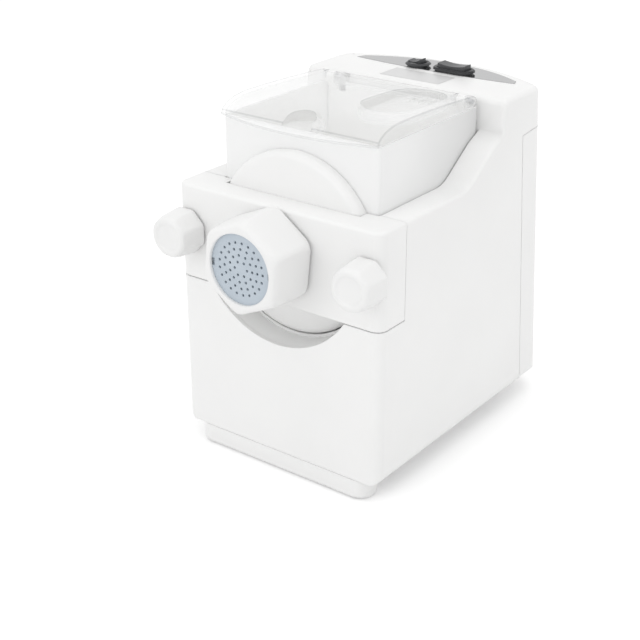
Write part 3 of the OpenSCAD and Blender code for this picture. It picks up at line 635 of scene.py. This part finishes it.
def merged_copy(source: bpy.types.Object) -> bmesh.types.BMesh:
    """Closed bmesh of a CAD node, with its flat areas joined.

    Args:
        source: CAD node's object, which stays as it is.

    Returns:
        The copy.
    """
    bm = bmesh.new()
    bm.from_mesh(source.data)
    bmesh.ops.remove_doubles(bm, verts=bm.verts, dist=WELD)
    bmesh.ops.dissolve_limit(bm, angle_limit=math.radians(FLAT_DEG), verts=bm.verts, edges=bm.edges)
    wide = [face for face in bm.faces if len(face.verts) > 4]
    bmesh.ops.triangulate(bm, faces=wide, quad_method="BEAUTY", ngon_method="BEAUTY")
    return bm


class Fold:
    """One convex edge as the rounding rules see it, in millimetres off the front plate's face."""

    def __init__(self, edge: bmesh.types.BMEdge) -> None:
        """Measures an edge.

        Args:
            edge: Edge between two faces.
        """
        ends = [v.co / MM - Vector((0, FRONT_FACE_Y / MM, 0)) for v in edge.verts]
        self.low = Vector(map(min, *ends))
        self.high = Vector(map(max, *ends))
        self.mid = (self.low + self.high) / 2
        self.normals = [face.normal for face in edge.link_faces]

    def at(self, axis: int, value: float, slack: float = 0.15) -> bool:
        """Says whether the whole edge lies at one coordinate."""
        return self.low[axis] > value - slack and self.high[axis] < value + slack

    def beside(self, half: float, slack: float = 0.15) -> bool:
        """Says whether the whole edge lies at one distance from the middle plane."""
        return self.at(X, half, slack) or self.at(X, -half, slack)

    def within(self, axis: int, low: float, high: float) -> bool:
        """Says whether the whole edge lies between two coordinates."""
        return self.low[axis] >= low and self.high[axis] <= high

    def faces(self, x: float, y: float, z: float, least: float = 0.7) -> bool:
        """Says whether one of the edge's faces looks in a direction."""
        way = Vector((x, y, z)).normalized()
        return any(normal.dot(way) > least for normal in self.normals)


Rule = Callable[[Fold], float]


def softened(source: bpy.types.Object, name: str, rule: Rule, segments: int = 4) -> bpy.types.Object:
    """Copy of a CAD node with rounded edges.

    Args:
        source: CAD node's object.
        name: Name of the new piece.
        rule: Gives an edge's radius in millimetres, or 0 to leave it.
        segments: Steps across each rounding.

    Returns:
        The new object, with its rounding as a modifier.
    """
    bm = merged_copy(source)
    weights = bm.edges.layers.float.new("bevel_weight_edge")
    least = math.radians(LEAST_ROUNDED_DEG)
    radii = {}
    for edge in bm.edges:
        if len(edge.link_faces) == 2 and edge.is_convex and edge.calc_face_angle(0.0) > least:
            radius = rule(Fold(edge))
            if radius > 0.0:
                radii[edge] = radius
    widest = max(radii.values(), default=1.0)
    for edge, radius in radii.items():
        edge[weights] = radius / widest
    obj = settle(name, bm)
    rounding = obj.modifiers.new("rounding", "BEVEL")
    rounding.limit_method = "WEIGHT"
    rounding.width = widest * MM
    rounding.segments = segments
    rounding.use_clamp_overlap = False
    rounding.loop_slide = False
    evening = obj.modifiers.new("evening", "WEIGHTED_NORMAL")
    evening.mode = "FACE_AREA"
    evening.weight = 100
    evening.keep_sharp = True
    LOG.info("%s rounds %d edges", name, len(radii))
    return obj


@dataclass(frozen=True)
class Station:
    """One ring of a drawn-out piece: a polygon with rounded corners, square to the Y axis."""

    y: float
    apothem: float
    rounding: float = math.inf

    def places(self, sides: int, turn_deg: float, centre: Vector) -> list[Vector]:
        """Lists the ring's points in order round the axis.

        Args:
            sides: Number of flats.
            turn_deg: Turn of the first corner about the axis.
            centre: Axis in the row frame; its Y is left out.

        Returns:
            The points in the row frame.
        """
        half = math.pi / sides
        rounding = min(self.rounding, self.apothem)
        reach = (self.apothem - rounding) / math.cos(half)
        points = []
        for corner in range(sides):
            middle = math.radians(turn_deg) + 2 * half * corner
            for step in range(CORNER_STEPS):
                spread = middle - half + 2 * half * (step + 0.5) / CORNER_STEPS
                across = centre.x + (reach * math.cos(middle) + rounding * math.cos(spread)) * MM
                up = centre.z + (reach * math.sin(middle) + rounding * math.sin(spread)) * MM
                points.append(Vector((across, self.y * MM + FRONT_FACE_Y, up)))
        return points


def ring_edges(bm: bmesh.types.BMesh, ring: Sequence[bmesh.types.BMVert]) -> list[bmesh.types.BMEdge]:
    """Lists the edges that join a ring's corners in order."""
    return [bm.edges.get((a, b)) for a, b in zip(ring, [*ring[1:], ring[0]])]


def place_ring(ring: Iterable[bmesh.types.BMVert], places: Iterable[Vector]) -> None:
    """Moves a ring's corners to their places."""
    for vert, place in zip(ring, places):
        vert.co = place


def drawn_out(
    name: str, stations: Sequence[Station], sides: int, turn_deg: float, centre: Vector, closed_ring: bool
) -> bpy.types.Object:
    """Closed piece made by drawing a ring out from station to station.

    Args:
        name: Name of the piece.
        stations: Rings in order along the surface.
        sides: Number of flats.
        turn_deg: Turn of every ring's first corner about the axis.
        centre: Axis in the row frame.
        closed_ring: Whether the last ring meets the first; otherwise a face closes each end.

    Returns:
        The new object.
    """
    bm = bmesh.new()
    first, *others = stations
    ring = bmesh.ops.create_circle(
        bm, cap_ends=not closed_ring, segments=sides * CORNER_STEPS, radius=MM
    )["verts"]
    place_ring(ring, first.places(sides, turn_deg, centre))
    for station in [*others, first] if closed_ring else others:
        made = bmesh.ops.extrude_edge_only(bm, edges=ring_edges(bm, ring))["geom"]
        fresh = {v for v in made if isinstance(v, bmesh.types.BMVert)}
        ring = [next(e.other_vert(v) for e in v.link_edges if e.other_vert(v) in fresh) for v in ring]
        place_ring(ring, station.places(sides, turn_deg, centre))
    if closed_ring:
        bmesh.ops.remove_doubles(bm, verts=bm.verts, dist=WELD / 2)
    else:
        bmesh.ops.contextual_create(bm, geom=ring_edges(bm, ring))
    bmesh.ops.recalc_face_normals(bm, faces=bm.faces)
    return settle(name, bm, DRAWN_CREASE_DEG)


def turned(
    name: str, outline: Sequence[tuple[float, float]], centre: Vector, steps: int = 160
) -> bpy.types.Object:
    """Closed ring-shaped piece spun about an axis along Y.

    Args:
        name: Name of the piece.
        outline: Closed outline as (radius, y) in millimetres.
        centre: Axis in the row frame.
        steps: Steps round the axis.

    Returns:
        The new object.
    """
    bm = bmesh.new()
    verts = [bm.verts.new((centre.x + r * MM, y * MM + FRONT_FACE_Y, centre.z)) for r, y in outline]
    edges = [bm.edges.new((a, b)) for a, b in zip(verts, verts[1:] + verts[:1])]
    bmesh.ops.spin(
        bm, geom=verts + edges, cent=centre, axis=(0, 1, 0), angle=math.tau, steps=steps, use_merge=True
    )
    bmesh.ops.recalc_face_normals(bm, faces=bm.faces)
    return settle(name, bm, TURNED_CREASE_DEG)


def claim(obj: bpy.types.Object, body: Body, node: str, material: bpy.types.Material) -> None:
    """Puts a new piece on its body, in place of its CAD node.

    Args:
        obj: New piece.
        body: Body that carries it.
        node: CAD node that it stands for.
        material: Finish.
    """
    dress(obj, material)
    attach(obj, body.value)
    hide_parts(node)
    LOG.info("%s rides on %s", obj.name, body.value)


# ---------------------------------------------------------------- the machine


@dataclass
class Frame:
    """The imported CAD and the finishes, as the sub-assemblies need them."""

    nodes: dict[str, bpy.types.Object]
    finishes: Finishes

    def soften(
        self, node: str, body: Body, slot: str, rule: Rule, finish: str, segments: int = 4
    ) -> bpy.types.Object:
        """Replaces a CAD node by a copy with rounded edges.

        Args:
            node: CAD node.
            body: Body that carries it.
            slot: Material slot of the record; not used.
            rule: Radius of each edge.
            finish: Name of the finish.
            segments: Steps across each rounding.

        Returns:
            The new object.
        """
        obj = softened(self.nodes[node], f"{node}_shape", rule, segments)
        claim(obj, body, node, getattr(self.finishes, finish))
        return obj


@dataclass
class Shell:
    """Housing, rear cover and front plate with their moulded roundings."""

    frame: Frame
    half_width: float = 100.0
    slot_half: float = 75.8
    slot_front: float = 31.0
    slot_top: float = 290.0
    top: float = 293.0
    top_inner_half: float = 84.0
    top_rear: float = 232.0
    step_front: float = 171.0
    step_rear: float = 178.0
    step_foot: float = 286.9
    deck: float = 232.0
    foot_height: float = 30.0
    plate_top: float = 232.6
    plate_foot: float = 152.8
    front_face: float = 9.5
    top_radius: float = 5.0
    side_radius: float = 3.0
    slot_radius: float = 1.3
    foot_radius: float = 1.6
    plate_foot_radius: float = 0.8

    def housing_rule(self, fold: Fold) -> float:
        """Radius of one edge of the housing.

        Args:
            fold: Edge.

        Returns:
            The radius in millimetres, or 0 to leave the edge.
        """
        side = fold.beside(self.half_width)
        highest = self.top + 0.1
        outer = abs(fold.mid.x) > self.top_inner_half
        rear = fold.low.y > self.top_rear and fold.faces(0, 1, 0, 0.5)
        if fold.at(Z, self.top) and (outer or rear):
            return self.top_radius
        step = fold.within(Z, self.step_foot, highest) and fold.within(Y, self.step_front, self.step_rear)
        if side and step:
            return self.top_radius
        upright_or_slope = fold.faces(0, -0.4, 1, 0.3) or fold.faces(0, -1, 0, 0.9)
        if side and fold.within(Z, self.deck, highest) and upright_or_slope:
            return self.side_radius
        in_slot = fold.within(Z, self.deck, self.slot_top) and fold.low.y > self.slot_front
        if fold.beside(self.slot_half) and in_slot:
            return self.slot_radius
        low_front = fold.high.y < self.front_face and fold.high.z < self.foot_height
        if low_front and fold.faces(0, -1, 0, 0.3) and fold.faces(0, 0, -1, 0.1):
            return self.foot_radius
        return 0.0

    def plate_rule(self, fold: Fold) -> float:
        """Radius of one edge of the front plate.

        Args:
            fold: Edge.

        Returns:
            The radius in millimetres, or 0 to leave the edge.
        """
        if not (fold.beside(self.half_width) or fold.high.y < self.front_face):
            return 0.0
        if fold.at(Z, self.plate_top):
            return self.side_radius
        if fold.at(Z, self.plate_foot):
            return self.plate_foot_radius
        return 0.0

    def build(self) -> None:
        """Makes the shell's pieces; the rear cover keeps its edges, which close its seam."""
        self.frame.soften("housing", Body.HOUSING, "white_shell", self.housing_rule, "shell")
        self.frame.soften("rear_cover", Body.HOUSING, "white_shell", lambda fold: 0.0, "shell")
        self.frame.soften("front_plate", Body.FRONT, "white_shell", self.plate_rule, "shell")


@dataclass
class Extruder:
    """Nut and round disc in front of the mixing chamber."""

    frame: Frame
    nut_sides: int = 6
    nut_turn_deg: float = 24.0
    nut_stations: tuple[Station, ...] = (
        Station(-1.6, 30.15), Station(-1.6, 34.7, 15.0), Station(-1.8, 35.1, 14.0),
        Station(-2.3, 35.5, 13.0), Station(-3.2, 35.8, 11.5), Station(-4.8, 35.95, 10.0),
        Station(-7.5, 36.0, 8.0), Station(-12.0, 35.9, 6.0), Station(-20.0, 35.7, 5.2),
        Station(-30.0, 35.2, 5.4), Station(-37.0, 34.7, 7.0), Station(-39.6, 34.3, 8.2),
        Station(-41.4, 33.7, 9.6), Station(-42.6, 32.8, 11.2), Station(-43.3, 31.8, 13.0),
        Station(-43.5, 30.8, 15.0), Station(-43.5, 29.5), Station(-43.35, 29.0),
        Station(-43.0, 28.65), Station(-42.5, 28.5), Station(-40.6, 28.5), Station(-40.6, 30.15),
    )
    disc_outline: tuple[tuple[float, float], ...] = (
        (25.2, 21.0), (69.4, 21.0), (71.2, 21.25), (72.7, 21.95), (73.9, 23.1), (74.7, 24.6),
        (75.0, 26.4), (75.0, 30.6), (74.6, 31.0), (71.5, 31.0), (71.5, 24.5), (69.4, 24.5),
        (69.4, 33.2), (68.0, 33.2), (68.0, 36.2), (69.4, 36.2), (69.4, 38.0), (28.2, 38.0),
        (28.2, 34.5), (66.0, 34.5), (66.0, 24.5), (28.2, 24.5), (28.2, 30.0), (25.2, 30.0),
    )

    def build(self) -> None:
        """Makes the six-sided nut with its round mouth, and the disc with its rounded rim."""
        axis = point(0, 0, AXIS_HEIGHT)
        finishes = self.frame.finishes
        nut = drawn_out(
            "extruder_nut_shape", self.nut_stations, self.nut_sides, self.nut_turn_deg, axis, True
        )
        claim(nut, Body.NUT, "extruder_nut", finishes.gloss_shell)
        disc = turned("front_disc_shape", self.disc_outline, axis)
        claim(disc, Body.FRONT, "front_disc", finishes.shell)


@dataclass
class FixingKnob:
    """Eight-sided screw knob with a shallow round recess."""

    frame: Frame
    node: str
    body: Body
    across: float
    height: float = 194.3
    sides: int = 8
    turn_deg: float = 22.5
    stations: tuple[Station, ...] = (
        Station(-18.0, 3.02), Station(-1.2, 3.02), Station(-1.2, 17.0, 13.0),
        Station(-1.35, 17.5, 10.0), Station(-1.8, 17.9, 6.0), Station(-2.6, 18.15, 3.6),
        Station(-4.2, 18.15, 3.2), Station(-12.0, 17.65, 4.2), Station(-18.0, 17.25, 6.0),
        Station(-21.5, 17.0, 8.0), Station(-23.2, 16.75, 10.0), Station(-24.4, 16.25, 12.5),
        Station(-25.2, 15.6, 14.0), Station(-25.75, 14.8), Station(-26.0, 13.8), Station(-26.0, 12.6),
        Station(-25.9, 12.0), Station(-25.6, 11.4), Station(-25.2, 10.8), Station(-24.95, 9.6),
        Station(-24.9, 4.0),
    )

    def build(self) -> None:
        """Makes the knob."""
        centre = point(self.across, 0, self.height)
        knob = drawn_out(f"{self.node}_shape", self.stations, self.sides, self.turn_deg, centre, False)
        claim(knob, self.body, self.node, self.frame.finishes.gloss_shell)


@dataclass
class ChamberAndLid:
    """Milky mixing chamber and its clear hinged lid."""

    frame: Frame
    rim_height: float = 285.0
    lid_half: float = 75.6
    lid_top: float = 293.0
    front_wall: float = 31.2
    inner_front: float = 33.2
    inner_rear: float = 166.0
    inner_half: float = 73.3
    disc_reach: float = 71.0
    rim_radius: float = 0.6
    wall_radius: float = 1.2
    lid_front: float = 30.0
    lid_side_radius: float = 1.1
    lid_front_radius: float = 0.7
    lid_top_radius: float = 0.6

    def chamber_rule(self, fold: Fold) -> float:
        """Radius of one edge of the mixing chamber.

        Args:
            fold: Edge.

        Returns:
            The radius in millimetres, or 0 to leave the edge.
        """
        if fold.at(Z, self.rim_height):
            return self.rim_radius
        clear_of_disc = math.hypot(fold.mid.x, fold.mid.z - AXIS_HEIGHT) > self.disc_reach
        if fold.at(Y, self.front_wall) and fold.faces(0, -1, 0) and clear_of_disc:
            return self.wall_radius
        return 0.0

    def lid_rule(self, fold: Fold) -> float:
        """Radius of one edge of the lid.

        Args:
            fold: Edge.

        Returns:
            The radius in millimetres, or 0 to leave the edge.
        """
        if fold.beside(self.lid_half, 0.25) and fold.low.z > self.rim_height + 0.5:
            return self.lid_side_radius
        if fold.low.z > self.rim_height and fold.high.y < self.lid_front:
            return self.lid_front_radius
        if fold.low.z > self.lid_top:
            return self.lid_top_radius
        return 0.0

    def inside(self, place: Vector) -> bool:
        """Says whether a place on the chamber belongs to the inner side of its walls.

        Args:
            place: Middle of a face in the row frame.

        Returns:
            Whether the face is on the inner side.
        """
        x, y, z = (place - point(0, 0, AXIS_HEIGHT)) / MM
        between = self.inner_front < y < self.inner_rear and z < self.rim_height - AXIS_HEIGHT - 0.5
        return between and (math.hypot(x, z) < self.inner_half or (z > 0 and abs(x) < self.inner_half))

    def build(self) -> None:
        """Makes the chamber and the lid."""
        finishes = self.frame.finishes
        chamber = self.frame.soften(
            "mixing_chamber", Body.CHAMBER, "chamber_white", self.chamber_rule, "chamber"
        )
        # The inner faces take the copy with the stronger painted glow.
        chamber.data.materials.append(finishes.chamber_lit_inside)
        for polygon in chamber.data.polygons:
            polygon.material_index = int(self.inside(polygon.center))
        lid = self.frame.soften("lid", Body.LID, "clear_plastic", self.lid_rule, "clear", 3)
        lid.visible_shadow = False
        # The rounded edges take the darker rim finish, painted shade that draws the lid's edges as dark
        # lines.
        lid.data.materials.append(finishes.rim)
        lid.modifiers["rounding"].material = lid.data.materials.find(finishes.rim.name)


@dataclass
class Feet:
    """Front foot bar and rear feet."""

    frame: Frame
    radius: float = 1.2

    def build(self) -> None:
        """Makes the feet."""
        for node in ("front_foot", "rear_feet"):
            self.frame.soften(node, Body.HOUSING, "white_shell", lambda fold: self.radius, "shell", 3)


# ---------------------------------------------------------------- studio


@dataclass
class Studio:
    """Floor, light and camera."""

    eye: Vector = field(default_factory=lambda: point(592.90, -727.53, 574.96))
    target: Vector = field(default_factory=lambda: point(-59.21, 136.28, 70.04))
    roll_deg: float = -0.15
    lens: float = 73.69
    ambient: float = 0.88
    key_power: float = 9.5
    side_power: float = 3.0
    top_power: float = 9.6
    lamp_size: float = 1.8
    floor_reach: float = 2.4
    floor_lift: float = 0.22

    def camera(self) -> None:
        """Sets the camera where the machine was seen from."""
        data = bpy.data.cameras.new("studio_camera")
        data.lens = self.lens
        data.sensor_width = 36.0
        data.clip_start = 0.05
        data.clip_end = 60.0
        camera = bpy.data.objects.new("studio_camera", data)
        bpy.context.scene.collection.objects.link(camera)
        back = (self.eye - self.target).normalized()
        right = Vector((0, 0, 1)).cross(back).normalized()
        up = back.cross(right)
        turn = math.radians(self.roll_deg)
        tilted_right = right * math.cos(turn) + up * math.sin(turn)
        tilted_up = up * math.cos(turn) - right * math.sin(turn)
        basis = Matrix((tilted_right, tilted_up, back)).transposed()
        camera.matrix_world = Matrix.Translation(self.eye) @ basis.to_4x4()
        bpy.context.scene.camera = camera

    def lamp(
        self, name: str, place: Vector, aim: Vector, power: float, mirrored: bool = True
    ) -> None:
        """Adds one soft lamp.

        Args:
            name: Name of the lamp.
            place: Where it hangs.
            aim: Where it points.
            power: Power in watts.
            mirrored: Whether glossy pieces show the lamp.
        """
        data = bpy.data.lights.new(name, "AREA")
        data.shape = "SQUARE"
        data.size = self.lamp_size
        data.energy = power
        lamp = bpy.data.objects.new(name, data)
        lamp.location = place
        lamp.rotation_euler = (aim - place).to_track_quat("-Z", "Y").to_euler()
        lamp.visible_glossy = mirrored
        bpy.context.scene.collection.objects.link(lamp)

    def world(self) -> None:
        """Lights the scene evenly and shows white wherever no object is."""
        world = bpy.data.worlds.new("studio_world")
        bpy.context.scene.world = world
        world.use_nodes = True
        tree = world.node_tree
        tree.nodes.clear()
        output = tree.nodes.new("ShaderNodeOutputWorld")
        sky = tree.nodes.new("ShaderNodeBackground")
        sky.inputs["Color"].default_value = (1.0, 1.0, 1.0, 1.0)
        path = tree.nodes.new("ShaderNodeLightPath")
        seen, through = (tree.nodes.new("ShaderNodeMath") for _ in range(2))
        seen.operation = through.operation = "MAXIMUM"
        level = tree.nodes.new("ShaderNodeMapRange")
        level.inputs["To Min"].default_value = self.ambient
        level.inputs["To Max"].default_value = 1.0
        tree.links.new(path.outputs["Is Camera Ray"], seen.inputs[0])
        tree.links.new(path.outputs["Is Glossy Ray"], seen.inputs[1])
        tree.links.new(seen.outputs[0], through.inputs[0])
        tree.links.new(path.outputs["Is Transmission Ray"], through.inputs[1])
        tree.links.new(through.outputs[0], level.inputs["Value"])
        tree.links.new(level.outputs[0], sky.inputs["Strength"])
        tree.links.new(sky.outputs[0], output.inputs["Surface"])

    def floor(self) -> None:
        """Lays a wide pale floor that shows white and keeps the machine's shadow."""
        bm = bmesh.new()
        bmesh.ops.create_grid(bm, x_segments=8, y_segments=8, size=self.floor_reach)
        floor = settle("studio_floor", bm)
        w = Wiring("floor_white")
        mottle = w.noise(3.0, 3.0)
        path = w.add("ShaderNodeLightPath")
        seen = w.larger(path.outputs["Is Camera Ray"], path.outputs["Is Glossy Ray"])
        lift = w.span(seen, 0.0, self.floor_lift, 0.0, 1.0)
        material = w.finish(
            Base_Color=w.tint(w.span(mottle, 0.0, 1.0), (0.9, 0.9, 0.9), (0.89, 0.89, 0.89)),
            Roughness=0.7,
            Specular_IOR_Level=0.0,
            Emission_Color=(1.0, 1.0, 1.0, 1.0),
            Emission_Strength=lift,
        )
        dress(floor, material)

    def build(self) -> None:
        """Sets up the whole studio."""
        self.camera()
        self.world()
        self.floor()
        middle = point(0, 120, 150)
        self.lamp("key_lamp", Vector((-0.8, -2.4, 1.1)), middle, self.key_power)
        self.lamp("side_lamp", Vector((2.2, -0.9, 1.0)), middle, self.side_power)
        self.lamp("top_lamp", Vector((0.3, 0.1, 2.4)), middle, self.top_power, mirrored=False)
        bpy.context.scene.view_settings.view_transform = "Standard"


# ---------------------------------------------------------------- main

CARRIED: dict[str, tuple[str, ...]] = {
    "shell": (
        "base_plate", "rear_feet", "chamber_bed", "housing", "rear_cover", "front_plate", "front_disc",
        "front_foot",
    ),
    "pad": ("foot_pads",),
    "seal": ("disc_seal", "shaft_seal"),
    "die": ("die_disc",),
    "gloss_shell": ("extrusion_tube", "extruder_nut", "knob_left", "knob_right"),
    "steel": (
        "knob_stud_left", "knob_stud_right", "lid_hinge_pins", "drive_shaft", "output_gear",
        "motor_pinion", "first_gear_axle", "second_gear_axle", "motor_can", "motor_rotor",
        "base_screws", "drive_screws", "cover_screws", "board_screws",
    ),
    "brass": (
        "stud_inserts", "main_bearing_front", "main_bearing_rear", "motor_bearings", "inlet_pins",
    ),
    "nylon": ("mixing_paddle", "auger_screw", "second_gear", "first_gear"),
    "frame_grey": ("gearbox_case", "gearbox_cover", "motor_cradle"),
    "iron": ("motor_stator",),
    "copper": ("motor_windings",),
    "charcoal": (
        "cooling_fan", "board_components", "interlock_switch", "small_switch_bezel",
        "small_switch_body", "large_switch_bezel", "large_switch_body", "mains_inlet",
    ),
    "board": ("control_board",),
    "light_grey": ("interlock_plunger",),
    "panel": ("control_panel",),
    "label": ("label_plate",),
    "rocker": ("small_switch_button", "large_switch_button"),
    "chamber": ("mixing_chamber",),
    "clear": ("lid",),
}


def main() -> None:
    """Builds the studio and the machine's pieces in order."""
    logging.basicConfig(level=logging.INFO, format="%(name)s: %(message)s")
    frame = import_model()
    Studio().build()
    finishes = Finishes()
    cad = Frame(frame["nodes"], finishes)
    for finish, names in CARRIED.items():
        for name in names:
            dress(frame["nodes"][name], getattr(finishes, finish))
            LOG.info("%s is dressed in %s", name, finish)
    Shell(cad).build()
    Extruder(cad).build()
    FixingKnob(cad, "knob_left", Body.KNOB_LEFT, -88.8).build()
    FixingKnob(cad, "knob_right", Body.KNOB_RIGHT, 88.8).build()
    ChamberAndLid(cad).build()
    Feet(cad).build()


if __name__ == "__main__":
    main()
